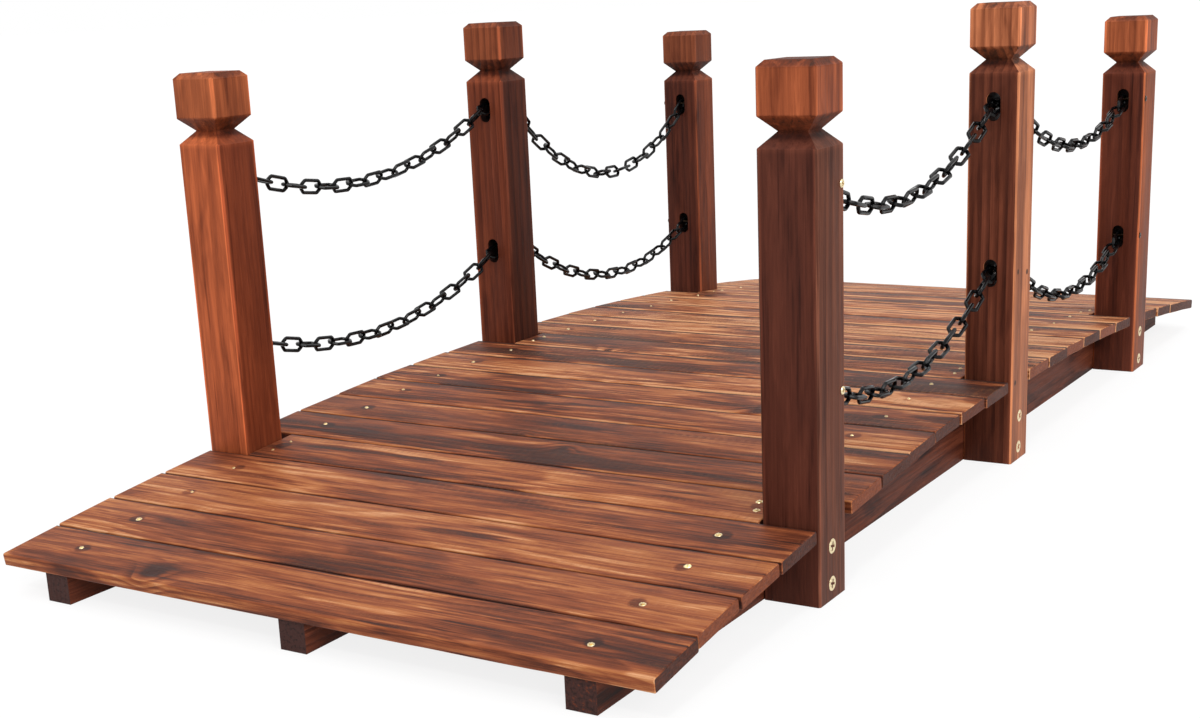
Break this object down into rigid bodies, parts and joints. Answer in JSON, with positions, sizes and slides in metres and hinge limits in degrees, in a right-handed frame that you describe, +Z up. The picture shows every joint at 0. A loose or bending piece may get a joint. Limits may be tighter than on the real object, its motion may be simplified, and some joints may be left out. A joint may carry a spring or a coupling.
{
  "type": "arched garden bridge",
  "caption": "Small arched timber garden bridge: plank deck on arched stringers, with capped posts joined by two levels of hanging chain on each side.",
  "frame": {"origin": "on the ground, under the middle of the deck", "axes": "+X along the walkway from the near end to the far end, +Y to the left, +Z up"},
  "size_m": [1.5006, 0.6524, 0.453],
  "materials": {
    "deck_wood": "flame-browned softwood boards with a brushed, oiled grain",
    "post_wood": "flame-browned softwood posts, reddish brown stain",
    "stringer_wood": "flame-browned softwood, darker under the deck",
    "chain_metal": "glossy black painted steel chain",
    "brass_screw": "yellow zinc plated screws"
  },
  "bodies": {
    "root": {"chain_lower_left": "chain_metal", "chain_lower_right": "chain_metal", "chain_pins_far_left": "brass_screw", "chain_pins_far_right": "brass_screw", "chain_pins_near_left": "brass_screw", "chain_pins_near_right": "brass_screw", "chain_upper_left": "chain_metal", "chain_upper_right": "chain_metal", "deck_board_01": "deck_wood", "deck_board_02": "deck_wood", "deck_board_03": "deck_wood", "deck_board_04": "deck_wood", "deck_board_05": "deck_wood", "deck_board_06": "deck_wood", "deck_board_07": "deck_wood", "deck_board_08": "deck_wood", "deck_board_09": "deck_wood", "deck_board_10": "deck_wood", "deck_board_11": "deck_wood", "deck_board_12": "deck_wood", "deck_board_13": "deck_wood", "deck_board_14": "deck_wood", "deck_board_15": "deck_wood", "deck_board_16": "deck_wood", "deck_board_17": "deck_wood", "deck_board_18": "deck_wood", "deck_board_19": "deck_wood", "deck_board_20": "deck_wood", "deck_board_21": "deck_wood", "deck_board_22": "deck_wood", "deck_board_23": "deck_wood", "post_far_left": "post_wood", "post_far_right": "post_wood", "post_mid_left": "post_wood", "post_mid_right": "post_wood", "post_near_left": "post_wood", "post_near_right": "post_wood", "stringer_left": "stringer_wood", "stringer_middle": "stringer_wood", "stringer_right": "stringer_wood"}
  },
  "joints": []
}
